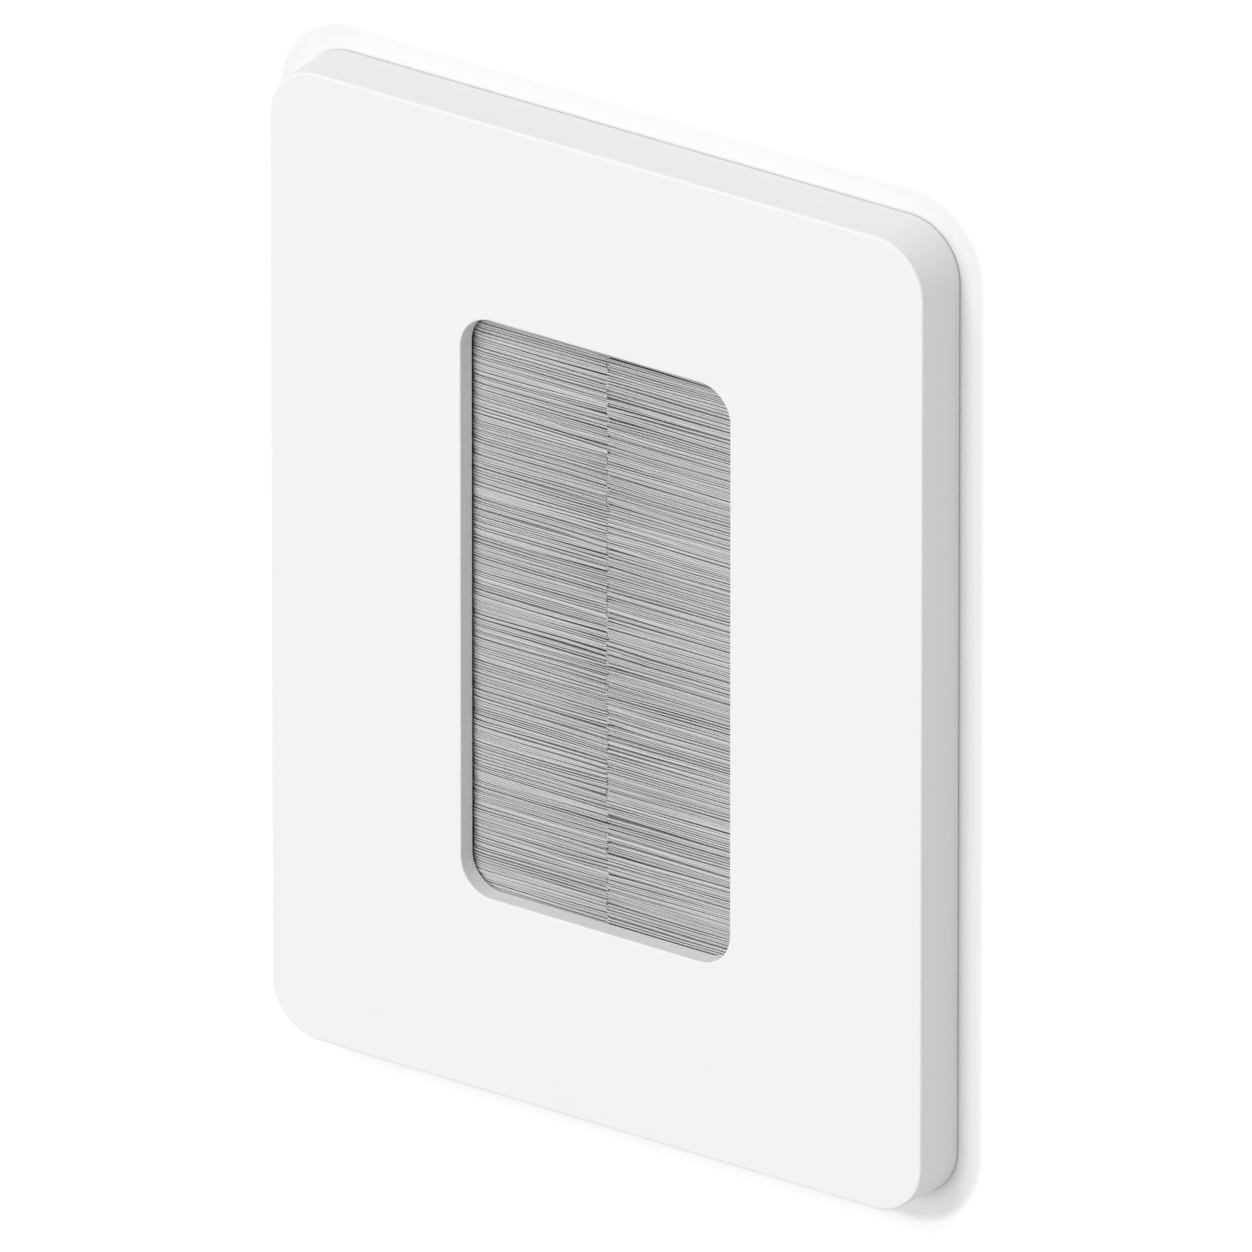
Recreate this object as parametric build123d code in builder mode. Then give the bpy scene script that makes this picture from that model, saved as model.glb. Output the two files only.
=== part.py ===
from build123d import *
from math import sin
import os

os.makedirs("parts", exist_ok=True)

# A one-gang wall plate with a tall window that two rows of bristles close.
# The origin is on the wall, at the middle of the plate. +Z is up, the room is on the -Y side,
# and +X is on the right of someone who faces the plate. Heights are measured out from the wall,
# so a plane at height h is Plane.XZ.offset(h), and things inside the wall box have negative heights.

# cover
plate_width = 85.5
plate_height = 114.3
plate_depth = 6.4
plate_corner = 6.4
side_draft = 2.8
edge_round = 0.25
face_wall = 1.6
skirt_wall = 1.7

# window in the cover, with the lip behind it
window_width = 35.1
window_corner = 4.0
window_reveal = 2.0
window_edge_round = 0.15
lip_wall = 1.5

# ribs and snap hooks inside the cover
rib_wall = 1.0
rib_drop = 1.6
rib_from_window = 13.45
rib_from_head = 1.38
hook_width = 8.0
hook_arm = 1.2
hook_nose = 0.6
hook_nose_depth = 0.6
hook_from_wall = 0.2
hook_play = 0.3
hook_inset = 2.4
hook_spread = 54.0

# mounting frame
flange_wall = 2.0
flange_gap = 0.85
well_floor = 0.8
well_floor_wall = 1.8
well_wall = 1.4
well_from_head = 0.67
cover_rest_gap = 0.1
frame_window_corner = 1.0
frame_edge_bevel = 0.3
box_screw_spacing = 83.34
screw_slot_width = 4.2
screw_slot_length = 7.0
catch_ledge = 0.9
catch_recess = 0.7

# brush strips
strip_past_window = 2.05
strip_gap = 0.2
channel_width = 3.6
channel_depth = 3.2
channel_sheet = 0.5
channel_inset = 0.65
channel_bend = 0.5
wire_radius = 0.6
wire_gap = 0.05
bristle_margin = 0.2
bristle_bundles = 88
bundle_bevel = 0.22
bundle_root_slit = 0.037
bundle_tip_slit = 0.11
bundle_wander = 0.2
bristle_front_gap = 0.3
bristle_back_gap = 0.15
tip_unevenness = 0.1
tip_gap = 0.06
tip_scatter = 0.3
root_proud = 0.3

# strip retainers and their screws
bar_sheet = 0.6
bar_from_strip_end = 1.0
bar_bend = 0.3
bar_clearance = 0.3
bar_foot = 2.9
retainer_screw_count = 4
retainer_screw_from_end = 4.25
retainer_thread = 1.1
retainer_thread_gap = 0.05
retainer_hole_gap = 0.2
retainer_head = 1.9
retainer_head_height = 1.4
retainer_shank = 5.0
retainer_head_gap = 0.3
boss_wall = 1.0
boss_end_wall = 0.7

# box screws
box_screw_head = 3.4
box_screw_head_height = 1.9
box_screw_thread = 1.75
box_screw_neck = 1.4
box_screw_length = 22.0
drive_slot = 0.8
drive_slot_depth = 0.8

# lengths that follow from the box screws: the well, the strips in it and the window in front
# of them take all the room between the two heads
head_reach = box_screw_spacing / 2 - box_screw_head
well_length = 2 * (head_reach - well_from_head - well_wall)
strip_length = well_length - 2 * strip_gap
window_height = strip_length - 2 * strip_past_window
bar_length = strip_length - 2 * bar_from_strip_end
retainer_screw_pitch = (bar_length - 2 * retainer_screw_from_end) / (retainer_screw_count - 1)

# places that follow from the sizes
face_inside = plate_depth - face_wall
lip_end = plate_depth - window_reveal
flange_width = plate_width - 2 * (skirt_wall + flange_gap)
flange_height = plate_height - 2 * (skirt_wall + flange_gap)
flange_corner = plate_corner - skirt_wall - flange_gap
channel_mouth = window_width / 2 + channel_inset
channel_back = channel_mouth + channel_width
channel_middle = well_floor + channel_depth / 2
channel_top = well_floor + channel_depth
well_width = 2 * (channel_back + strip_gap)
bundle_root = channel_mouth - root_proud
root_thickness = channel_depth - 2 * channel_sheet
bristle_length = strip_length - 2 * bristle_margin
bundle_pitch = bristle_length / bristle_bundles
bundle_edge = bundle_bevel * bundle_pitch
wire_place = channel_back - channel_sheet - root_thickness / 2
bar_edge = window_width / 2 + lip_wall + bar_clearance
bar_web = channel_back + bar_clearance
retainer_place = bar_web + bar_sheet + retainer_head_gap + retainer_head
boss_radius = retainer_thread + boss_wall
thread_end = flange_wall + bar_sheet - retainer_shank


def side_place(distance, height):
    """A point of a section across the plate: distance from the middle, height from the wall."""
    return (distance, -height)


# Face cover: one moulding, a shallow tray with drafted sides, open towards the wall.
with BuildPart() as face_cover:
    with BuildSketch(Plane.XZ):
        RectangleRounded(plate_width, plate_height, plate_corner)
    extrude(amount=plate_depth, taper=side_draft)
    front_edges = face_cover.faces().sort_by(Axis.Y)[0].outer_wire().edges()
    fillet(front_edges, edge_round)
    with BuildSketch(Plane.XZ):
        RectangleRounded(
            plate_width - 2 * skirt_wall,
            plate_height - 2 * skirt_wall,
            plate_corner - skirt_wall,
        )
    extrude(amount=face_inside, taper=side_draft, mode=Mode.SUBTRACT)

    # two upright and two level ribs stiffen the face, outside the brush strips and the box screws
    inner_width = plate_width - 2 * skirt_wall
    inner_height = plate_height - 2 * skirt_wall
    with BuildSketch(Plane.XZ.offset(face_inside - rib_drop)):
        with GridLocations(window_width + 2 * rib_from_window, 0, 2, 1):
            Rectangle(rib_wall, inner_height)
        with GridLocations(0, box_screw_spacing + 2 * (box_screw_head + rib_from_head), 1, 2):
            Rectangle(inner_width, rib_wall)
        RectangleRounded(inner_width, inner_height, plate_corner - skirt_wall, mode=Mode.INTERSECT)
    extrude(amount=rib_drop)

    # the lip round the window, which hides where the bristles start
    with BuildSketch(Plane.XZ.offset(lip_end)):
        RectangleRounded(
            window_width + 2 * lip_wall,
            window_height + 2 * lip_wall,
            window_corner + lip_wall,
        )
    extrude(amount=face_inside - lip_end)
    with BuildSketch(Plane.XZ.offset(lip_end)):
        RectangleRounded(window_width, window_height, window_corner)
    extrude(amount=window_reveal, mode=Mode.SUBTRACT)
    window_edges = face_cover.faces().sort_by(Axis.Y)[0].inner_wires()[0].edges()
    fillet(window_edges, window_edge_round)

    # six hooks on arms, two at each side, one at the top and one at the bottom
    arm_x = flange_width / 2 - hook_inset
    arm_z = flange_height / 2 - hook_inset
    with BuildSketch(Plane.XZ.offset(hook_from_wall)):
        with GridLocations(2 * arm_x - hook_arm, hook_spread, 2, 2):
            Rectangle(hook_arm, hook_width)
        with GridLocations(0, 2 * arm_z - hook_arm, 1, 2):
            Rectangle(hook_width, hook_arm)
    extrude(amount=face_inside - hook_from_wall)
    with BuildSketch(Plane.XZ.offset(hook_from_wall)):
        with GridLocations(2 * arm_x + hook_nose, hook_spread, 2, 2):
            Rectangle(hook_nose, hook_width)
        with GridLocations(0, 2 * arm_z + hook_nose, 1, 2):
            Rectangle(hook_width, hook_nose)
    extrude(amount=hook_nose_depth)

# Mounting frame: a flange that lies on the wall, with a well that takes both brush strips.
with BuildPart() as mounting_frame:
    with BuildSketch(Plane.XZ):
        RectangleRounded(flange_width, flange_height, flange_corner)
    extrude(amount=flange_wall)
    rim_edges = mounting_frame.faces().sort_by(Axis.Y)[0].outer_wire().edges()
    chamfer(rim_edges, frame_edge_bevel)
    with BuildSketch(Plane.XZ.offset(well_floor - well_floor_wall)):
        RectangleRounded(well_width + 2 * well_wall, well_length + 2 * well_wall, well_wall)
    extrude(amount=flange_wall - well_floor + well_floor_wall)

    # end stops for the strips, which also carry the middle of the cover
    with BuildSketch(Plane.XZ.offset(flange_wall)):
        with GridLocations(0, well_length + well_wall, 1, 2):
            Rectangle(well_width, well_wall)
    extrude(amount=face_inside - cover_rest_gap - flange_wall)

    with BuildSketch(Plane.XZ.offset(well_floor)):
        Rectangle(well_width, well_length)
    extrude(amount=face_inside - well_floor, mode=Mode.SUBTRACT)
    with BuildSketch(Plane.XZ.offset(well_floor - well_floor_wall)):
        RectangleRounded(window_width, window_height, frame_window_corner)
    extrude(amount=well_floor_wall, mode=Mode.SUBTRACT)

    # bosses behind the flange for the self-tapping screws
    with BuildSketch(Plane.XZ.offset(thread_end - retainer_hole_gap - boss_end_wall)):
        with GridLocations(2 * retainer_place, retainer_screw_pitch, 2, retainer_screw_count):
            Circle(boss_radius)
    extrude(amount=retainer_hole_gap + boss_end_wall - thread_end)
    with BuildSketch(Plane.XZ.offset(thread_end - retainer_hole_gap)):
        with GridLocations(2 * retainer_place, retainer_screw_pitch, 2, retainer_screw_count):
            Circle(retainer_thread + retainer_thread_gap)
    extrude(amount=flange_wall + retainer_hole_gap - thread_end, mode=Mode.SUBTRACT)

    # level slots for the box screws, so that the plate can be set straight
    with BuildSketch(Plane.XZ):
        with GridLocations(0, box_screw_spacing, 1, 2):
            SlotOverall(screw_slot_length, screw_slot_width)
    extrude(amount=flange_wall, mode=Mode.SUBTRACT)

    # catches: a slot that the arm goes through, and a recess behind it for the nose
    slot_x = 2 * arm_x - hook_arm
    slot_z = 2 * arm_z - hook_arm
    slot_depth = hook_arm + 2 * hook_play
    slot_width = hook_width + 2 * hook_play
    with BuildSketch(Plane.XZ):
        with GridLocations(slot_x, hook_spread, 2, 2):
            Rectangle(slot_depth, slot_width)
        with GridLocations(0, slot_z, 1, 2):
            Rectangle(slot_width, slot_depth)
    extrude(amount=flange_wall, mode=Mode.SUBTRACT)
    with BuildSketch(Plane.XZ):
        with GridLocations(slot_x + slot_depth + catch_recess, hook_spread, 2, 2):
            Rectangle(catch_recess, slot_width)
        with GridLocations(0, slot_z + slot_depth + catch_recess, 1, 2):
            Rectangle(slot_width, catch_recess)
    extrude(amount=catch_ledge, mode=Mode.SUBTRACT)


def wander(number, phase):
    """A value from -1 to 1 that differs from bundle to bundle and is the same on every build."""
    return 2 * ((sin(number * 12.9898 + phase * 78.233) * 43758.5453) % 1) - 1


def bundle_limit(number, side):
    """Where one bundle ends and the next begins: the height at the root and at the tips."""
    place = number * bundle_pitch - bristle_length / 2
    if number in (0, bristle_bundles):
        return place, place
    root = place + 0.5 * bundle_wander * bundle_pitch * wander(number, 3 + side)
    tip = root + bundle_wander * bundle_pitch * wander(number, 7 + side)
    return root, tip


def bristle_bundle(number, side):
    """One bundle of filaments, from the channel's mouth to its tips near the middle."""
    low_root, low_tip = bundle_limit(number, side)
    high_root, high_tip = bundle_limit(number + 1, side)
    root_slit = bundle_root_slit * bundle_pitch / 2
    tip_slit = bundle_tip_slit * bundle_pitch * (1 + 0.4 * wander(number, 11 + side)) / 2
    root = side * bundle_root
    tip = side * (tip_gap + tip_scatter * (0.5 + 0.5 * wander(number, 17 + side)))
    front = lip_end - bristle_front_gap - tip_unevenness * (1 + wander(number, 23 + side))
    back = well_floor + bristle_back_gap + tip_unevenness * (1 + wander(number, 29 + side))
    with BuildPart() as bundle:
        # its shape from the front, where it spreads or narrows towards the tips
        with BuildSketch(Plane.XZ):
            with BuildLine():
                Polyline(
                    (root, low_root + root_slit),
                    (root, high_root - root_slit),
                    (tip, high_tip - tip_slit),
                    (tip, low_tip + tip_slit),
                    close=True,
                )
            make_face()
        extrude(amount=plate_depth)
        # its shape from above, where it fans out from the channel
        with BuildSketch(Plane.XY.offset(-bristle_length / 2)):
            with BuildLine():
                Polyline(
                    side_place(root, channel_middle + root_thickness / 2),
                    side_place(root, channel_middle - root_thickness / 2),
                    side_place(tip, back),
                    side_place(tip, front),
                    close=True,
                )
            make_face()
        extrude(amount=bristle_length, mode=Mode.INTERSECT)
        long_edges = bundle.edges().filter_by(lambda edge: edge.length > bundle_root / 2)
        chamfer(long_edges, bundle_edge)
    return bundle.part


# Bristles: two rows whose tips meet in the middle, each folded round its own wire.
left_bundles = [bristle_bundle(number, -1) for number in range(bristle_bundles)]
right_bundles = [bristle_bundle(number, 1) for number in range(bristle_bundles)]
root_block = channel_back - channel_sheet - bundle_root
root_centre = bundle_root + root_block / 2

with BuildPart() as left_bristles:
    with BuildSketch(Plane.XY):
        with Locations(side_place(-root_centre, channel_middle)):
            Rectangle(root_block, root_thickness)
        with Locations(side_place(-wire_place, channel_middle)):
            Circle(wire_radius + wire_gap, mode=Mode.SUBTRACT)
    extrude(amount=bristle_length / 2, both=True)
    add(left_bundles)

with BuildPart() as right_bristles:
    with BuildSketch(Plane.XY):
        with Locations(side_place(root_centre, channel_middle)):
            Rectangle(root_block, root_thickness)
        with Locations(side_place(wire_place, channel_middle)):
            Circle(wire_radius + wire_gap, mode=Mode.SUBTRACT)
    extrude(amount=bristle_length / 2, both=True)
    add(right_bundles)

# Core wires, inside the fold of the filaments.
with BuildPart() as left_core_wire:
    with BuildSketch(Plane.XY):
        with Locations(side_place(-wire_place, channel_middle)):
            Circle(wire_radius)
    extrude(amount=strip_length / 2, both=True)

with BuildPart() as right_core_wire:
    with BuildSketch(Plane.XY):
        with Locations(side_place(wire_place, channel_middle)):
            Circle(wire_radius)
    extrude(amount=strip_length / 2, both=True)

# Brush channels: folded sheet, open towards the middle of the plate.
channel_centre = (channel_mouth + channel_back) / 2

with BuildPart() as left_brush_channel:
    with BuildSketch(Plane.XY) as left_fold:
        with Locations(side_place(-channel_centre, channel_middle)):
            Rectangle(channel_width, channel_depth)
        fillet(left_fold.vertices().group_by(Axis.X)[0], channel_bend)
        with Locations(side_place(channel_sheet - channel_centre, channel_middle)):
            Rectangle(channel_width, root_thickness, mode=Mode.SUBTRACT)
    extrude(amount=strip_length / 2, both=True)

with BuildPart() as right_brush_channel:
    with BuildSketch(Plane.XY) as right_fold:
        with Locations(side_place(channel_centre, channel_middle)):
            Rectangle(channel_width, channel_depth)
        fillet(right_fold.vertices().group_by(Axis.X)[-1], channel_bend)
        with Locations(side_place(channel_centre - channel_sheet, channel_middle)):
            Rectangle(channel_width, root_thickness, mode=Mode.SUBTRACT)
    extrude(amount=strip_length / 2, both=True)

# Strip retainers: joggled bars, one leg on the channel and the foot on the flange.
bar_foot_end = retainer_place + bar_foot
bar_corners = [
    (bar_edge, channel_top),
    (bar_edge, channel_top + bar_sheet),
    (bar_web + bar_sheet, channel_top + bar_sheet),
    (bar_web + bar_sheet, flange_wall + bar_sheet),
    (bar_foot_end, flange_wall + bar_sheet),
    (bar_foot_end, flange_wall),
    (bar_web, flange_wall),
    (bar_web, channel_top),
]
inner_bends = [bar_corners[3], bar_corners[7]]
outer_bends = [bar_corners[2], bar_corners[6]]

with BuildPart() as right_strip_retainer:
    with BuildSketch(Plane.XY) as right_joggle:
        with BuildLine():
            Polyline(*[side_place(x, h) for x, h in bar_corners], close=True)
        make_face()
        for x, h in inner_bends:
            corner = right_joggle.vertices().sort_by_distance(side_place(x, h))[0]
            fillet(corner, bar_bend)
        for x, h in outer_bends:
            corner = right_joggle.vertices().sort_by_distance(side_place(x, h))[0]
            fillet(corner, bar_bend + bar_sheet)
    extrude(amount=bar_length / 2, both=True)
    with BuildSketch(Plane.XZ.offset(flange_wall)):
        with Locations((retainer_place, 0)):
            with GridLocations(0, retainer_screw_pitch, 1, retainer_screw_count):
                Circle(retainer_thread + retainer_hole_gap)
    extrude(amount=bar_sheet, mode=Mode.SUBTRACT)

with BuildPart() as left_strip_retainer:
    add(mirror(right_strip_retainer.part, about=Plane.YZ, mode=Mode.PRIVATE))

# Retainer screws: self-tapping pan heads that press each foot on the flange.
retainer_seat = flange_wall + bar_sheet
retainer_row = retainer_screw_pitch * (retainer_screw_count - 1) / 2

with BuildPart() as retainer_screw:
    with BuildSketch(Plane.XZ.offset(retainer_seat)):
        Circle(retainer_head)
    extrude(amount=retainer_head_height)
    chamfer(retainer_screw.faces().sort_by(Axis.Y)[0].edges(), retainer_head_height / 3)
    with BuildSketch(Plane.XZ.offset(retainer_seat)):
        Circle(retainer_thread)
    extrude(amount=-retainer_shank)
    with BuildSketch(Plane.XZ.offset(retainer_seat + retainer_head_height)):
        Rectangle(2 * retainer_head, drive_slot)
    extrude(amount=-drive_slot_depth, mode=Mode.SUBTRACT)

# Box screws: machine screws with a plain neck in the slot and the thread behind the frame.
with BuildPart() as box_screw:
    with BuildSketch(Plane.XZ.offset(flange_wall)):
        Circle(box_screw_head)
    extrude(amount=box_screw_head_height)
    chamfer(box_screw.faces().sort_by(Axis.Y)[0].edges(), box_screw_head_height / 2)
    with BuildSketch(Plane.XZ.offset(flange_wall)):
        Circle(box_screw_neck)
    extrude(amount=-flange_wall)
    with BuildSketch(Plane.XZ):
        Circle(box_screw_thread)
    extrude(amount=flange_wall - box_screw_length)
    chamfer(box_screw.faces().sort_by(Axis.Y)[-1].edges(), box_screw_thread / 3)
    with BuildSketch(Plane.XZ.offset(flange_wall + box_screw_head_height)):
        Rectangle(2 * box_screw_head, drive_slot)
    extrude(amount=-drive_slot_depth, mode=Mode.SUBTRACT)

face_cover.part.label = "face_cover"
mounting_frame.part.label = "mounting_frame"
left_bristles.part.label = "left_bristles"
right_bristles.part.label = "right_bristles"
left_core_wire.part.label = "left_core_wire"
right_core_wire.part.label = "right_core_wire"
left_brush_channel.part.label = "left_brush_channel"
right_brush_channel.part.label = "right_brush_channel"
left_strip_retainer.part.label = "left_strip_retainer"
right_strip_retainer.part.label = "right_strip_retainer"

export_step(face_cover.part, "parts/face_cover.step")
export_step(mounting_frame.part, "parts/mounting_frame.step")
export_step(left_bristles.part, "parts/left_bristles.step")
export_step(right_bristles.part, "parts/right_bristles.step")
export_step(left_core_wire.part, "parts/left_core_wire.step")
export_step(right_core_wire.part, "parts/right_core_wire.step")
export_step(left_brush_channel.part, "parts/left_brush_channel.step")
export_step(right_brush_channel.part, "parts/right_brush_channel.step")
export_step(left_strip_retainer.part, "parts/left_strip_retainer.step")
export_step(right_strip_retainer.part, "parts/right_strip_retainer.step")

# the same small screw at each hole, numbered from the bottom up
for side_name, side in (("left", -1), ("right", 1)):
    for number in range(retainer_screw_count):
        height = number * retainer_screw_pitch - retainer_row
        name = f"retainer_screw_{side_name}_{number + 1}"
        with BuildPart() as placed_screw:
            with Locations((side * retainer_place, 0, height)):
                add(retainer_screw.part)
        placed_screw.part.label = name
        export_step(placed_screw.part, f"parts/{name}.step")

for place_name, side in (("top", 1), ("bottom", -1)):
    name = f"box_screw_{place_name}"
    with BuildPart() as placed_screw:
        with Locations((0, 0, side * box_screw_spacing / 2)):
            add(box_screw.part)
    placed_screw.part.label = name
    export_step(placed_screw.part, f"parts/{name}.step")
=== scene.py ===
import math

import bmesh
import bpy
from mathutils import Matrix, Vector


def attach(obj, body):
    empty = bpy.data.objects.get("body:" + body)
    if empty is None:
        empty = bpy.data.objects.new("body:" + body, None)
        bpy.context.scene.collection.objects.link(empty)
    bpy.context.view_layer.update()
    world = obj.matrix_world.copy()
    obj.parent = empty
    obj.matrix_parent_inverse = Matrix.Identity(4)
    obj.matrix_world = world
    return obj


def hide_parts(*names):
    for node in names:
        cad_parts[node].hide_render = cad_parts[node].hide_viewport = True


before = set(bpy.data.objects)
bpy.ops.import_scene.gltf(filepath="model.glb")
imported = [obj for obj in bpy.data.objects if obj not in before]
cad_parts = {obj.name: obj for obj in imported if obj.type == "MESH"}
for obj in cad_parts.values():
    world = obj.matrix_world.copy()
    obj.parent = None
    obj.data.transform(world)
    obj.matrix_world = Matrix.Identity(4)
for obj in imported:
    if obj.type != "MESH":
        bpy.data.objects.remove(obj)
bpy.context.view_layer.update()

# The view. The plate is seen from its right and from above, through a very long lens, so that
# its upright edges stay parallel. The distance follows from the face's height in the picture.
face_height = 0.11367
face_depth = 0.0064
face_pixels = 1067.0
picture_pixels = 1252.0
view_azimuth = math.radians(35.2)
view_elevation = math.radians(24.8)
view_right = 0.0292
view_up = 0.0148
lens = 1600.0
film_width = 36.0
view_reach = 60.0

to_right = Vector((math.cos(view_azimuth), math.sin(view_azimuth), 0.0))
to_camera = Vector(
    (
        math.sin(view_azimuth) * math.cos(view_elevation),
        -math.cos(view_azimuth) * math.cos(view_elevation),
        math.sin(view_elevation),
    )
)
to_top = to_camera.cross(to_right)
view_distance = lens / film_width * picture_pixels / face_pixels * face_height
view_place = Vector((0.0, -face_depth, 0.0)) + to_camera * view_distance
view_place += (to_right * view_right + to_top * view_up) * face_height
camera = bpy.data.objects.new("camera", bpy.data.cameras.new("camera"))
camera.data.lens = lens
camera.data.sensor_width = film_width
camera.data.clip_end = view_reach
camera.matrix_world = Matrix.Translation(view_place) @ Matrix(
    (to_right, to_top, to_camera)
).transposed().to_4x4()
bpy.context.scene.collection.objects.link(camera)
bpy.context.scene.camera = camera
bpy.context.scene.view_settings.view_transform = "Standard"


# The wall. It is plain white paint and ends under the rim of the plate. It shows only from the
# room, so that the back can be looked at. A painted glow, not a lamp, is weak next to the plate
# and strong a few millimetres away. It whitens the wall and fades the plate's shadow out.
wall_gap = 0.0002
wall_size = 1.2
wall_corner = 0.12
wall_white = (0.80, 0.80, 0.80, 1.0)
pure_white = (1.0, 1.0, 1.0, 1.0)
# painted glow on the wall for camera, glossy and transmission rays: weak next to the plate, strong
# beyond it
near_glow = 0.045
far_glow = 0.30
fade_start = 0.0024
fade_end = 0.0040
plate_corner = 0.0064
plate_width = 0.0855
plate_height = 0.1143
hole_inset = 0.0015
corner_steps = 24


class Signal:
    """A value that runs from node to node, so that a finish or a form reads as a sum."""

    def __init__(self, network, socket):
        self.network = network
        self.socket = socket

    def work(self, operation, first, second):
        made = self.network.node("ShaderNodeMath", {"operation": operation}, {0: first, 1: second})
        return made["Value"]

    def __add__(self, other):
        return self.work("ADD", self, other)

    def __radd__(self, other):
        return self.work("ADD", other, self)

    def __sub__(self, other):
        return self.work("SUBTRACT", self, other)

    def __rsub__(self, other):
        return self.work("SUBTRACT", other, self)

    def __mul__(self, other):
        return self.work("MULTIPLY", self, other)

    def __rmul__(self, other):
        return self.work("MULTIPLY", other, self)

    def __truediv__(self, other):
        return self.work("DIVIDE", self, other)

    def __mod__(self, other):
        return self.work("MODULO", self, other)

    def __pow__(self, other):
        return self.work("POWER", self, other)

    def __abs__(self):
        return self.work("ABSOLUTE", self, 0.0)

    def at_least(self, other):
        return self.work("MAXIMUM", self, other)


class Network:
    """Nodes that are wired by name, or by number where a node's sockets share a name."""

    def __init__(self, tree):
        self.tree = tree
        self.tree.nodes.clear()

    def node(self, kind, settings, sockets):
        made = self.tree.nodes.new(kind)
        for name, value in settings.items():
            setattr(made, name, value)
        for key, value in sockets.items():
            if isinstance(key, int):
                socket = made.inputs[key]
            else:
                socket = next(s for s in made.inputs if s.enabled and s.name == key)
            if isinstance(value, Signal):
                self.tree.links.new(value.socket, socket)
            else:
                socket.default_value = value
        return {s.name: Signal(self, s) for s in made.outputs if s.enabled}


class Finish(Network):
    """The finish of one material, seen as nodes."""

    def __init__(self, name):
        self.material = bpy.data.materials.new(name)
        self.material.use_nodes = True
        super().__init__(self.material.node_tree)

    def place(self):
        return self.node("ShaderNodeTexCoord", {}, {})["Object"]

    def grain(self, vector, scale, detail):
        """Noise from 0 to 1 at so many patches a metre."""
        sockets = {"Vector": vector, "Scale": scale, "Detail": detail}
        return self.node("ShaderNodeTexNoise", {}, sockets)["Fac"]

    def stretch(self, vector, scale):
        sockets = {"Vector": vector, "Scale": scale}
        return self.node("ShaderNodeMapping", {}, sockets)["Vector"]

    def blend(self, share, first, second):
        sockets = {"Factor": share, "A": first, "B": second}
        return self.node("ShaderNodeMix", {"data_type": "RGBA"}, sockets)["Result"]

    def relief(self, height, depth, strength):
        sockets = {"Height": height, "Distance": depth, "Strength": strength}
        return self.node("ShaderNodeBump", {}, sockets)["Normal"]

    def show(self, surface):
        self.node("ShaderNodeOutputMaterial", {}, {"Surface": surface})
        return self.material

    def coat(self, sockets):
        return self.show(self.node("ShaderNodeBsdfPrincipled", {}, sockets)["BSDF"])


def paint_wall_and_glow():
    """White paint that shows the plate's shadow close by. A painted glow grows away from the plate
    and fades the wall to pure white.
    """
    finish = Finish("wall_paint")
    axes = finish.node("ShaderNodeSeparateXYZ", {}, {"Vector": finish.place()})
    past_side = (abs(axes["X"]) - (plate_width / 2 - plate_corner)).at_least(0.0)
    past_top = (abs(axes["Z"]) - (plate_height / 2 - plate_corner)).at_least(0.0)
    away = (past_side * past_side + past_top * past_top) ** 0.5 - plate_corner
    # painted glow: its strength rises with the distance from the plate's outline, so the wall
    # turns pure white and the plate's shadow shows only close by
    lift = finish.node(
        "ShaderNodeMapRange",
        {"interpolation_type": "SMOOTHSTEP"},
        {
            "Value": away,
            "From Min": fade_start,
            "From Max": fade_end,
            "To Min": near_glow,
            "To Max": far_glow,
        },
    )["Result"]
    path = finish.node("ShaderNodeLightPath", {}, {})
    straight = path["Is Camera Ray"] + path["Is Glossy Ray"] + path["Is Transmission Ray"]
    flat = finish.node("ShaderNodeBsdfDiffuse", {}, {"Color": wall_white})["BSDF"]
    full = finish.node("ShaderNodeEmission", {}, {"Color": pure_white, "Strength": 1.0})
    glow = finish.node("ShaderNodeMixShader", {}, {0: straight * lift, 2: full["Emission"]})
    both = finish.node("ShaderNodeAddShader", {}, {0: flat, 1: glow["Shader"]})["Shader"]
    clear = finish.node("ShaderNodeBsdfTransparent", {}, {})["BSDF"]
    behind = finish.node("ShaderNodeNewGeometry", {}, {})["Backfacing"]
    return finish.show(
        finish.node("ShaderNodeMixShader", {}, {0: behind, 1: both, 2: clear})["Shader"]
    )


def add_mesh(name, form, material):
    """A finished bmesh becomes an object at the origin."""
    mesh = bpy.data.meshes.new(name)
    form.to_mesh(mesh)
    form.free()
    piece = bpy.data.objects.new(name, mesh)
    bpy.context.scene.collection.objects.link(piece)
    mesh.materials.append(material)
    return piece


def ring(form, width, height, corner, depth):
    """The corners of a rounded rectangle at one depth, counterclockwise from the room."""
    made = []
    for side_x, side_z, start in ((1, 1, 0), (-1, 1, 90), (-1, -1, 180), (1, -1, 270)):
        middle_x = side_x * (width / 2 - corner)
        middle_z = side_z * (height / 2 - corner)
        for step in range(corner_steps + 1):
            turn = math.radians(start + 90.0 * step / corner_steps)
            x = middle_x + corner * math.cos(turn)
            z = middle_z + corner * math.sin(turn)
            made.append(form.verts.new((x, -depth, z)))
    return made


def join_rings(form, first, second):
    count = len(first)
    for k in range(count):
        form.faces.new((first[k], first[(k + 1) % count], second[(k + 1) % count], second[k]))


wall_form = bmesh.new()
wall_edge = ring(wall_form, wall_size, wall_size, wall_corner, -wall_gap)
hole_size = (plate_width - 2 * hole_inset, plate_height - 2 * hole_inset)
hole_edge = ring(wall_form, *hole_size, plate_corner - hole_inset, -wall_gap)
join_rings(wall_form, wall_edge, hole_edge)
wall_form.normal_update()
add_mesh("wall", wall_form, paint_wall_and_glow())


# The light. A white room gives about half of it. A soft lamp in front, a little to the left,
# lights the face, and one high up on the left lights the tops and shades the window's top.
room_light = 0.50
# direction, light, and half the width as a share of the distance
lamps = {
    "front": (Vector((-0.12, -1.0, 0.08)), 0.34, 0.17),
    "high": (Vector((-0.22, -1.0, 1.0)), 0.325, 0.20),
}
lamp_distance = 6.0


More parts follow.
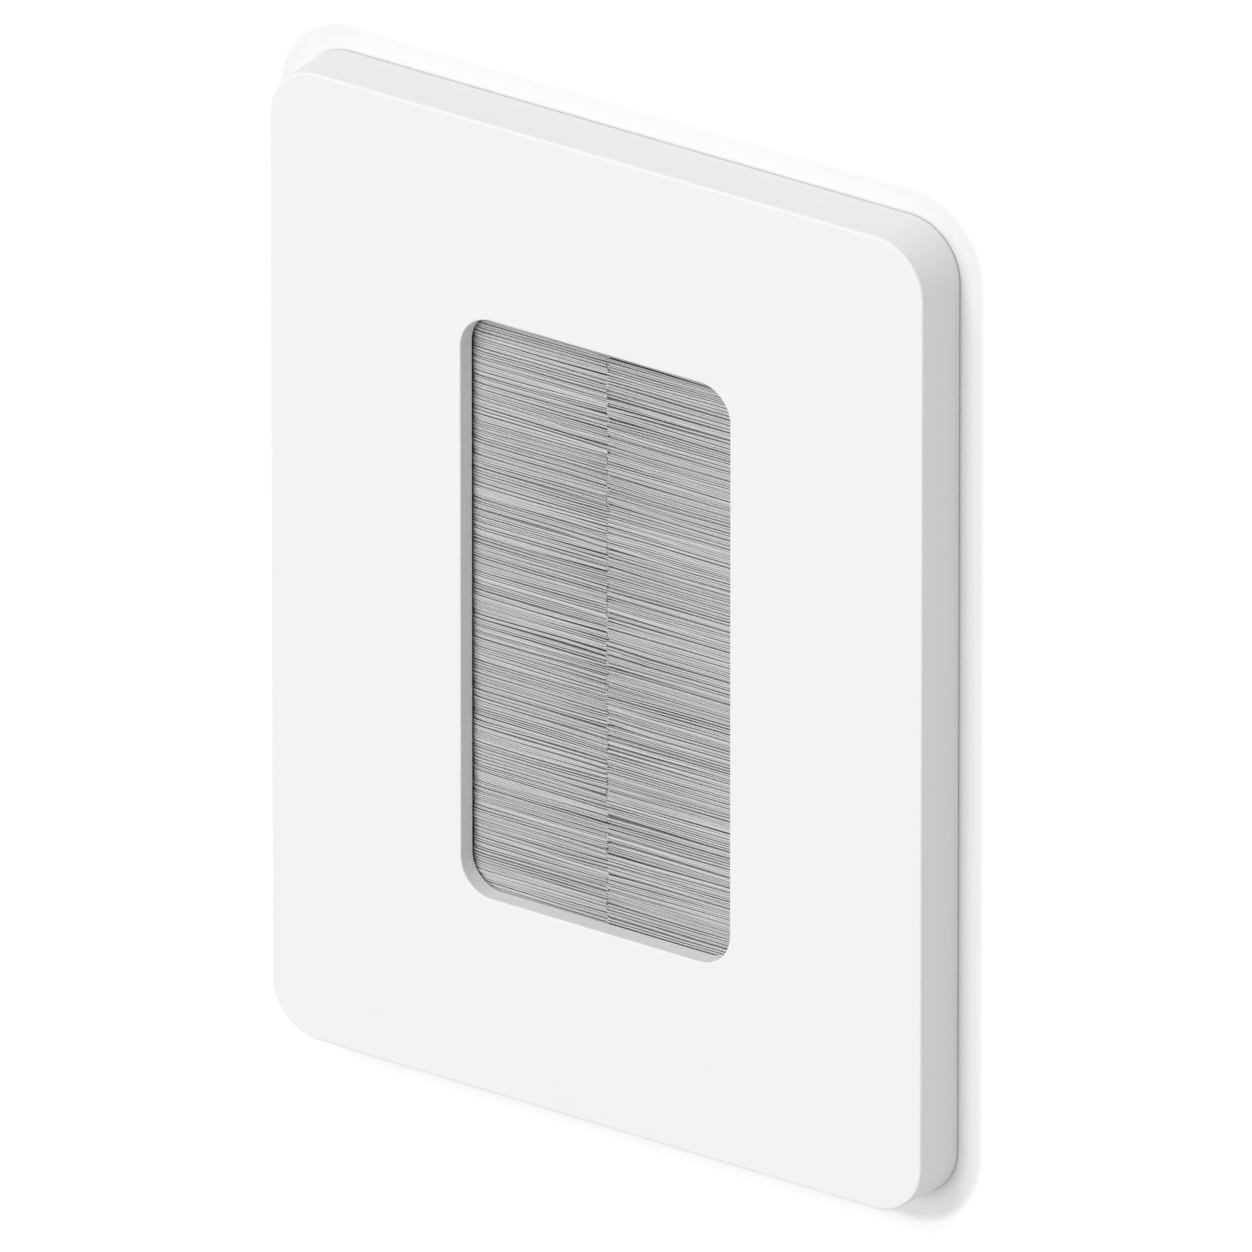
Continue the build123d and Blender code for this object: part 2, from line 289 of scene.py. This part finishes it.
def hang_lamp(name, side, light, spread):
    """A square lamp whose light on the plate doesn't depend on its distance."""
    lamp = bpy.data.objects.new(name, bpy.data.lights.new(name, "AREA"))
    lamp.data.size = 2 * spread * lamp_distance
    lamp.data.energy = light * math.pi**2 * lamp_distance**2
    lamp.location = side.normalized() * lamp_distance
    lamp.rotation_euler = side.to_track_quat("Z", "Y").to_euler()
    bpy.context.scene.collection.objects.link(lamp)


world = bpy.data.worlds.new("room")
bpy.context.scene.world = world
world.use_nodes = True
room = Network(world.node_tree)
seen = room.node("ShaderNodeLightPath", {}, {})["Is Camera Ray"]
room_sockets = {"Color": pure_white, "Strength": room_light + seen * (1.0 - room_light)}
room_air = room.node("ShaderNodeBackground", {}, room_sockets)["Background"]
room.node("ShaderNodeOutputWorld", {}, {"Surface": room_air})

for name, (side, light, spread) in lamps.items():
    hang_lamp(name, side, light, spread)


# The face cover. It is one moulding in smooth white plastic: a shallow tray with drafted sides
# and window, finely rounded front edges and a lip. Six hooks snap it on the mounting frame.
side_slope = math.tan(math.radians(2.8))
edge_round = 0.00025
edge_steps = 6
foot_round = 0.00002
tight = 0.00006
face_wall = 0.0016
skirt_wall = 0.0017
window_width = 0.0351
window_height = 0.0679
window_corner = 0.0040
window_reveal = 0.0020
window_round = 0.00015
window_steps = 4
lip_wall = 0.0015
rib_x = 0.0310
rib_z = 0.04645
rib_drop = 0.0016
rib_half = 0.0005
rib_reach_x = 0.0401
rib_reach_z = 0.0546
root_sink = 0.0001
hook_z = 0.0270
hook_at_side = 0.0378
hook_at_top = 0.0522
hook_half = 0.0040
hook_arm = 0.0012
hook_nose = 0.0006
hook_end = 0.0002
cover_colour = (0.868, 0.878, 0.898, 1.0)
cover_grain = 0.5
cover_crease = math.radians(35)
plastic_shade = 0.975
plastic_patches = 45.0
plastic_grain = 5200.0
plastic_ripple = 260.0
ripple_height = 0.6
plastic_dull = 0.52
grain_dull = 0.10
plastic_gloss = 0.40
plastic_relief = 0.00001
plastic_strength = 0.35


def block(form, low, high):
    """A closed block between two corners."""
    corners = [
        form.verts.new((x, y, z))
        for x in (low[0], high[0])
        for y in (low[1], high[1])
        for z in (low[2], high[2])
    ]
    ends = ((0, 1, 3, 2), (4, 6, 7, 5))
    sides = ((0, 4, 5, 1), (2, 3, 7, 6), (0, 2, 6, 4), (1, 5, 7, 3))
    for face in ends + sides:
        form.faces.new([corners[k] for k in face])


def outline(form, inset, depth):
    size_x = plate_width - 2 * inset
    size_z = plate_height - 2 * inset
    return ring(form, size_x, size_z, plate_corner - inset, depth)


def window(form, outset, depth):
    size_x = window_width + 2 * outset
    size_z = window_height + 2 * outset
    return ring(form, size_x, size_z, window_corner + outset, depth)


def mould_cover():
    """A closed shell from ring to ring, with tight rings beside each rounding to hold it."""
    form = bmesh.new()
    inside = face_depth - face_wall
    rings = [outline(form, foot_round, 0.0), outline(form, 0.0, foot_round)]
    rings.append(outline(form, tight * side_slope, tight))
    side_end = face_depth - edge_round
    rings.append(outline(form, (side_end - tight) * side_slope, side_end - tight))
    for step in range(edge_steps + 1):
        turn = math.radians(90.0 * step / edge_steps)
        inset = side_end * side_slope + edge_round * (1 - math.cos(turn))
        rings.append(outline(form, inset, side_end + edge_round * math.sin(turn)))
    rings.append(outline(form, side_end * side_slope + edge_round + tight, face_depth))
    rings.append(window(form, window_round + tight, face_depth))
    for step in range(window_steps + 1):
        turn = math.radians(90.0 * step / window_steps)
        outset = window_round * (1 - math.sin(turn))
        depth = face_depth - window_round * (1 - math.cos(turn))
        rings.append(window(form, outset, depth))
    lip_end = face_depth - window_reveal
    draft = (window_reveal - window_round) * side_slope
    rings.append(window(form, -tight * side_slope, face_depth - window_round - tight))
    rings.append(window(form, tight * side_slope - draft, lip_end + tight))
    rings.append(window(form, -draft, lip_end))
    rings.append(window(form, lip_wall, lip_end))
    rings.append(window(form, lip_wall, inside))
    rings.append(outline(form, skirt_wall + inside * side_slope, inside))
    rings.append(outline(form, skirt_wall, 0.0))
    for k in range(len(rings)):
        join_rings(form, rings[k], rings[(k + 1) % len(rings)])
    # ribs and hooks stand behind the face, rooted a little way in it
    root = -(inside + root_sink)
    catch = -hook_end - hook_nose
    ribs = ((rib_x, rib_half, rib_reach_z), (0.0, rib_reach_x, rib_half))
    for side in (-1, 1):
        for across, reach_x, reach_z in ribs:
            up = 0.0 if across else side * rib_z
            low = (side * across - reach_x, root, up - reach_z)
            block(form, low, (side * across + reach_x, rib_drop - inside, up + reach_z))
        edge = side * hook_at_side
        arm = edge - side * hook_arm
        nose = edge + side * hook_nose
        for up in (-hook_z, hook_z):
            block(form, (edge, root, up - hook_half), (arm, -hook_end, up + hook_half))
            block(form, (edge, catch, up - hook_half), (nose, -hook_end, up + hook_half))
        edge = side * hook_at_top
        arm = edge - side * hook_arm
        nose = edge + side * hook_nose
        block(form, (-hook_half, root, edge), (hook_half, -hook_end, arm))
        block(form, (-hook_half, catch, edge), (hook_half, -hook_end, nose))
    bmesh.ops.recalc_face_normals(form, faces=form.faces)
    for face in form.faces:
        face.smooth = True
    return form


def mould_plastic(name, colour, texture):
    """Smooth moulded plastic: a very fine grain and a faint unevenness in colour."""
    finish = Finish(name)
    place = finish.place()
    cloudy = finish.grain(place, plastic_patches, detail=3.0)
    deeper = tuple(c * plastic_shade for c in colour[:3]) + (1.0,)
    tone = finish.blend(cloudy, deeper, colour)
    fine = finish.grain(place, plastic_grain, detail=2.0)
    rolled = finish.grain(place, plastic_ripple, detail=2.0)
    height = fine * texture + rolled * ripple_height
    return finish.coat(
        {
            "Base Color": tone,
            "Roughness": plastic_dull + fine * grain_dull,
            "Specular IOR Level": plastic_gloss,
            "Normal": finish.relief(height, plastic_relief, plastic_strength),
        }
    )


cover_white = mould_plastic("cover_white", cover_colour, cover_grain)
cover = add_mesh("cover", mould_cover(), cover_white)
cover.data.set_sharp_from_angle(angle=cover_crease)
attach(cover, "root")
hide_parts("face_cover")


# The bristles. Grey nylon filaments stand in two rows, folded round a wire on each side, and
# their tips meet in the middle. They lie in loose bunches with thin dark gaps between them.
filament_columns = 340
filament_layers = 10
filament_stations = 7
filament_sides = 4
filament_radius = 0.000098
radius_spread = 0.12
tip_taper = 0.12
row_length = 0.0716
row_root = 0.0180
row_tip = -0.00001
row_middle = 0.00240
root_half = 0.00098
tip_front = 0.00420
tip_back = 0.00105
tip_scatter = 0.00013
bunch_shift = 0.00049
strand_shift = 0.00007
sweep_shift = 0.00020
lean_shift = 0.00014
wave_shift = 0.00022
level_jitter = 0.45
root_stray = 0.26
added_stray = 0.22
root_crowding = 2.0
opening = 1.3
flare_power = 60.0
taper_power = 3.0
row_depth_mm = 3.0
row_reach_mm = 17.6
# unevenness along a filament, through the row and up it, for each millimetre, and its seed step
bunch_noise = (0.05, 0.35, 0.90, 7.3)
strand_noise = (0.09, 0.8, 2.3, 3.1)
sweep_noise = (0.03, 0.1, 0.10, 5.7)
wave_noise = (0.12, 0.2, 0.6, 9.9)
# what is drawn at random for each filament, and the step of its seed
draws = {"level": 11, "stray": 12, "lean": 13, "tip": 14, "radius": 15, "tone": 16}
# name, side and seed
bristle_rows = (("left", -1.0, 3), ("right", 1.0, 8))
bristle_light = (0.685, 0.699, 0.690, 1.0)
bristle_dark = (0.535, 0.546, 0.539, 1.0)
patch_stretch = (0.35, 1.0, 1.0)
streak_stretch = (0.08, 1.0, 1.0)
nylon_patches = 160.0
nylon_streaks = 4200.0
tone_share = 0.22
patch_share = 0.5
streak_share = 0.5
nylon_dull = 0.52
streak_dull = 0.12
nylon_gloss = 0.35


class Recipe(Network):
    """A form that is made by Geometry Nodes. Its sizes are named inputs."""

    def __init__(self, name, sizes):
        super().__init__(bpy.data.node_groups.new(name, "GeometryNodeTree"))
        self.tree.is_modifier = True
        kinds = {float: "NodeSocketFloat", int: "NodeSocketInt"}
        self.identifiers = {}
        for label, value in sizes.items():
            kind = kinds.get(type(value), "NodeSocketObject")
            if isinstance(value, bpy.types.Material):
                kind = "NodeSocketMaterial"
            made = self.tree.interface.new_socket(label, in_out="INPUT", socket_type=kind)
            self.identifiers[label] = made.identifier
        self.tree.interface.new_socket(
            "Geometry", in_out="OUTPUT", socket_type="NodeSocketGeometry"
        )
        self.sizes = sizes
        self.size = self.node("NodeGroupInput", {}, {})

    def finish(self, geometry, material):
        """Every recipe ends with real geometry in one material."""
        real = self.node("GeometryNodeRealizeInstances", {}, {"Geometry": geometry})["Geometry"]
        dressed = self.node(
            "GeometryNodeSetMaterial", {}, {"Geometry": real, "Material": material}
        )["Geometry"]
        self.node("NodeGroupOutput", {}, {"Geometry": dressed})

    def make(self, name, changes):
        """Runs the recipe with its sizes and keeps the result as a plain mesh."""
        carrier = bpy.data.objects.new(name, bpy.data.meshes.new(name))
        bpy.context.scene.collection.objects.link(carrier)
        run = carrier.modifiers.new("recipe", "NODES")
        run.node_group = self.tree
        for label, value in {**self.sizes, **changes}.items():
            run[self.identifiers[label]] = value
        graph = bpy.context.evaluated_depsgraph_get()
        mesh = bpy.data.meshes.new_from_object(carrier.evaluated_get(graph))
        carrier.modifiers.clear()
        carrier.data = mesh
        mesh.name = name
        return carrier


def bristle_recipe(material):
    """One row: every filament is a line of stations from the wire to its tip, swept to a tube."""
    recipe = Recipe(
        "bristle_row",
        {
            "Side": 1.0,
            "Length": row_length,
            "Root": row_root,
            "Root front": row_middle + root_half,
            "Root depth": 2 * root_half,
            "Tip": row_tip,
            "Tip front": tip_front,
            "Tip depth": tip_front - tip_back,
            "Tip scatter": tip_scatter,
            "Columns": filament_columns,
            "Layers": filament_layers,
            "Stations": filament_stations,
            "Radius": filament_radius,
            "Bunch shift": bunch_shift,
            "Strand shift": strand_shift,
            "Sweep shift": sweep_shift,
            "Lean shift": lean_shift,
            "Wave shift": wave_shift,
            "Seed": 3,
            "Finish": material,
        },
    )
    size = recipe.size
    count = size["Columns"] * size["Layers"]
    index = recipe.node("GeometryNodeInputIndex", {}, {})["Index"]

    def whole(value):
        return recipe.node("ShaderNodeMath", {"operation": "FLOOR"}, {0: value})["Value"]

    def chance(drawn):
        """A random value from -1 to 1, the same for the whole of one filament."""
        seed = size["Seed"] + draws[drawn]
        sockets = {"Min": -1.0, "Max": 1.0, "ID": number, "Seed": seed}
        return recipe.node("FunctionNodeRandomValue", {}, sockets)["Value"]

    def drift(noise):
        """Smooth unevenness from -1 to 1, the same for filaments that lie side by side."""
        along, deep, high, seed_step = noise
        spot = {"X": along_mm * along, "Y": deep_mm * deep}
        spot["Z"] = up_mm * high + size["Seed"] * seed_step
        vector = recipe.node("ShaderNodeCombineXYZ", {}, spot)["Vector"]
        sockets = {"Vector": vector, "Scale": 1.0, "Detail": 1.0}
        return recipe.node("ShaderNodeTexNoise", {}, sockets)["Fac"] * 2.0 - 1.0

    # each point's filament, its station there, and the filament's column and layer in the row
    number = whole((index + 0.5) / size["Stations"])
    station = index - number * size["Stations"]
    share = (station / (size["Stations"] - 1.0)) ** root_crowding
    column = whole((number + 0.5) / size["Layers"])
    layer = number - column * size["Layers"]
    odd = layer % 2.0
    level = (layer + 0.5 + chance("level") * level_jitter) / size["Layers"]
    stray = chance("stray") * (root_stray + share * added_stray)
    place = (column + 0.25 + odd * 0.5 + stray) / size["Columns"] - 0.5
    up = place * size["Length"]

    # millimetres make the noise easy to read
    up_mm = up * 1000.0
    deep_mm = level * row_depth_mm
    along_mm = share * row_reach_mm
    open_up = share**opening
    bunch = drift(bunch_noise)
    strand = drift(strand_noise)
    sweep = drift(sweep_noise)
    lean = chance("lean") * size["Lean shift"]
    shift = bunch * size["Bunch shift"] + strand * size["Strand shift"]
    shift = shift + sweep * size["Sweep shift"] + lean
    height = up + shift * open_up
    wave = drift(wave_noise)
    root_y = size["Root front"] - level * size["Root depth"]
    tip_y = size["Tip front"] - level * size["Tip depth"]
    flare = 1.0 - (1.0 - share) ** flare_power
    out = root_y + (tip_y - root_y) * flare + wave * size["Wave shift"] * open_up
    scatter = chance("tip") * size["Tip scatter"]
    reach = size["Root"] - share * (size["Root"] - size["Tip"] - scatter)
    spot = recipe.node(
        "ShaderNodeCombineXYZ", {}, {"X": reach * size["Side"], "Y": out * -1.0, "Z": height}
    )["Vector"]
    spread = 1.0 + chance("radius") * radius_spread
    thin = size["Radius"] * spread * (1.0 - tip_taper * share**taper_power)

    points = recipe.node(
        "GeometryNodePoints", {}, {"Count": count * size["Stations"], "Position": spot}
    )["Points"]
    for label, value in (("thin", thin), ("tone", chance("tone"))):
        points = recipe.node(
            "GeometryNodeStoreNamedAttribute",
            {"data_type": "FLOAT", "domain": "POINT"},
            {"Geometry": points, "Name": label, "Value": value},
        )["Geometry"]
    lines = recipe.node(
        "GeometryNodePointsToCurves",
        {},
        {"Points": points, "Curve Group ID": number, "Weight": station},
    )["Curves"]
    kept = recipe.node("GeometryNodeInputNamedAttribute", {"data_type": "FLOAT"}, {"Name": "thin"})
    section = recipe.node(
        "GeometryNodeCurvePrimitiveCircle", {}, {"Resolution": filament_sides, "Radius": 1.0}
    )["Curve"]
    solid = recipe.node(
        "GeometryNodeCurveToMesh",
        {},
        {
            "Curve": lines,
            "Profile Curve": section,
            "Scale": kept["Attribute"],
            "Fill Caps": True,
        },
    )["Mesh"]
    recipe.finish(solid, size["Finish"])
    return recipe


def nylon():
    """Grey nylon: each filament has its own tone and a soft streak along it."""
    finish = Finish("bristle_nylon")
    place = finish.place()
    tone = finish.node("ShaderNodeAttribute", {"attribute_name": "tone"}, {})["Fac"]
    patchy = finish.grain(finish.stretch(place, patch_stretch), nylon_patches, detail=3.0)
    streak = finish.grain(finish.stretch(place, streak_stretch), nylon_streaks, detail=2.0)
    share = tone * tone_share + patchy * patch_share + streak * streak_share
    return finish.coat(
        {
            "Base Color": finish.blend(share, bristle_dark, bristle_light),
            "Roughness": nylon_dull + streak * streak_dull,
            "Specular IOR Level": nylon_gloss,
        }
    )


def turn_outwards(piece):
    """The tubes' faces are turned outwards, and stay smooth. Their small end caps are flat."""
    form = bmesh.new()
    form.from_mesh(piece.data)
    if form.calc_volume(signed=True) < 0:
        bmesh.ops.reverse_faces(form, faces=form.faces)
    for face in form.faces:
        face.smooth = len(face.verts) == 4 and face.calc_area() > 4 * filament_radius**2
    form.to_mesh(piece.data)
    form.free()


filaments = bristle_recipe(nylon())
for side_name, side, seed in bristle_rows:
    row = filaments.make(f"{side_name}_filaments", {"Side": side, "Seed": seed})
    turn_outwards(row)
    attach(row, "root")
    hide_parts(f"{side_name}_bristles")


# The mounting frame. It is moulded in a greyer, plainer plastic, because the cover hides it.
# It lies on the wall and carries the two brush strips in its well.
frame_colour = (0.74, 0.75, 0.75, 1.0)
frame_grain = 0.9


def dress(names, material):
    """A carried-over piece keeps its shape and gets its finish."""
    for name in names:
        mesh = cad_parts[name].data
        mesh.materials.clear()
        mesh.materials.append(material)


dress(["mounting_frame"], mould_plastic("frame_plastic", frame_colour, frame_grain))


# The steel pieces. Channels and retainers are folded from zinc plated sheet, the core wires are
# drawn, and the screws are turned and plated. All of them sit behind the cover.
sheet_colour = (0.62, 0.63, 0.65, 1.0)
sheet_dull = (0.50, 0.51, 0.53, 1.0)
screw_colour = (0.60, 0.60, 0.58, 1.0)
screw_dull = (0.47, 0.46, 0.44, 1.0)
bloom_patches = 600.0
drawn_lines = 9000.0
bloom_share = 0.6
line_share = 0.4
steel_dull = 0.30
line_dull = 0.16
line_relief = 0.000004
line_strength = 0.5
drawn_upright = (1.0, 1.0, 0.03)
turned_along = (1.0, 0.08, 1.0)


def plated_steel(name, light, dull, along):
    """Plated steel: soft bloom in the plating and fine lines the way it was drawn."""
    finish = Finish(name)
    place = finish.place()
    bloom = finish.grain(place, bloom_patches, detail=4.0)
    lines = finish.grain(finish.stretch(place, along), drawn_lines, detail=2.0)
    share = bloom * bloom_share + lines * line_share
    return finish.coat(
        {
            "Base Color": finish.blend(share, dull, light),
            "Metallic": 1.0,
            "Roughness": steel_dull + lines * line_dull,
            "Normal": finish.relief(lines, line_relief, line_strength),
        }
    )


sheet_steel = plated_steel("sheet_steel", sheet_colour, sheet_dull, drawn_upright)
screw_steel = plated_steel("screw_steel", screw_colour, screw_dull, turned_along)
dress(["left_brush_channel", "right_brush_channel"], sheet_steel)
dress(["left_strip_retainer", "right_strip_retainer"], sheet_steel)
dress(["left_core_wire", "right_core_wire"], sheet_steel)
dress([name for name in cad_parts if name.startswith("retainer_screw")], screw_steel)


# The two box screws. They are slotted pan head machine screws with a rolled thread, zinc plated.
# Each goes through a level slot in the frame into a threaded ear of the wall box.
screw_spacing = 0.08334
screw_seat = 0.0020
head_radius = 0.0034
head_height = 0.0019
head_flat = 0.55
crown_height = 0.55
crown_steps = 5
screw_edge = 0.0001
neck_radius = 0.0014
thread_radius = 0.00175
thread_depth = 0.00042
thread_pitch = 0.000794
thread_length = 0.0200
thread_rows = 6
thread_start = 0.00001
groove_slope = 2.6
groove_flat = 0.15
end_taper = 0.0003
screw_sides = 32
screw_crease = math.radians(40)
slot_width = 0.0008
slot_depth = 0.0008
saw_lift = 0.0010


def turn_screw():
    """One screw on the Y axis, its thread cut as a helix that runs out at both ends."""
    form = bmesh.new()
    rows = []

    def row(y, radius):
        made = []
        for k in range(screw_sides):
            turn = 2 * math.pi * k / screw_sides
            r = radius(turn) if callable(radius) else radius
            made.append(form.verts.new((r * math.cos(turn), y, r * math.sin(turn))))
        rows.append(made)

    def thread(y):
        def radius(turn):
            phase = (y / thread_pitch - turn / (2 * math.pi)) % 1.0
            wall = max(0.0, groove_slope * abs(phase - 0.5) - groove_flat)
            groove = thread_depth * min(1.0, wall)
            fade = min(1.0, y / thread_pitch, (thread_length - y) / thread_pitch)
            return thread_radius - thread_depth * (1.0 - fade) - groove * fade

        return radius

    top = -screw_seat - head_height
    for step in range(crown_steps + 1):
        turn = math.radians(90.0 * step / crown_steps)
        y = top + head_height * crown_height * (1 - math.cos(turn))
        row(y, head_radius * (head_flat + (1.0 - head_flat) * math.sin(turn)))
    row(-screw_seat - screw_edge, head_radius)
    row(-screw_seat, head_radius - screw_edge)
    row(-screw_seat, neck_radius)
    row(0.0, neck_radius)
    row(thread_start, thread_radius - thread_depth)
    count = int(thread_length / thread_pitch * thread_rows)
    for step in range(1, count):
        y = thread_length * step / count
        row(y, thread(y))
    row(thread_length, thread_radius - thread_depth - end_taper)
    for first, second in zip(rows, rows[1:]):
        join_rings(form, first, second)
    for last in (rows[0], rows[-1]):
        form.faces.new(last)
    bmesh.ops.recalc_face_normals(form, faces=form.faces)
    return form


def cut_slot(screw):
    """The driver slot is sawn across the head."""
    form = bmesh.new()
    top = -screw_seat - head_height
    reach = 2 * head_radius
    low = (-reach, top - saw_lift, -slot_width / 2)
    block(form, low, (reach, top + slot_depth, slot_width / 2))
    bmesh.ops.recalc_face_normals(form, faces=form.faces)
    saw = add_mesh("saw", form, screw_steel)
    cut = screw.modifiers.new("slot", "BOOLEAN")
    cut.object = saw
    cut.operation = "DIFFERENCE"
    graph = bpy.context.evaluated_depsgraph_get()
    mesh = bpy.data.meshes.new_from_object(screw.evaluated_get(graph))
    screw.modifiers.clear()
    screw.data = mesh
    bpy.data.objects.remove(saw)


def screw_pair_recipe(screw, material):
    """The same screw twice, as far apart as the ears of the wall box."""
    recipe = Recipe(
        "screw_pair", {"Screw": screw, "Spacing": screw_spacing, "Finish": material}
    )
    size = recipe.size
    low = recipe.node("ShaderNodeCombineXYZ", {}, {"Z": size["Spacing"] * -0.5})["Vector"]
    step = recipe.node("ShaderNodeCombineXYZ", {}, {"Z": size["Spacing"]})["Vector"]
    places = recipe.node(
        "GeometryNodeMeshLine", {}, {"Count": 2, "Start Location": low, "Offset": step}
    )["Mesh"]
    one = recipe.node("GeometryNodeObjectInfo", {}, {"Object": size["Screw"]})["Geometry"]
    both = recipe.node("GeometryNodeInstanceOnPoints", {}, {"Points": places, "Instance": one})
    recipe.finish(both["Instances"], size["Finish"])
    return recipe


one_screw = add_mesh("one_screw", turn_screw(), screw_steel)
cut_slot(one_screw)
screws = screw_pair_recipe(one_screw, screw_steel).make("box_screws", {})
bpy.data.objects.remove(one_screw)
for polygon in screws.data.polygons:
    polygon.use_smooth = True
screws.data.set_sharp_from_angle(angle=screw_crease)
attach(screws, "root")
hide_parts("box_screw_top", "box_screw_bottom")
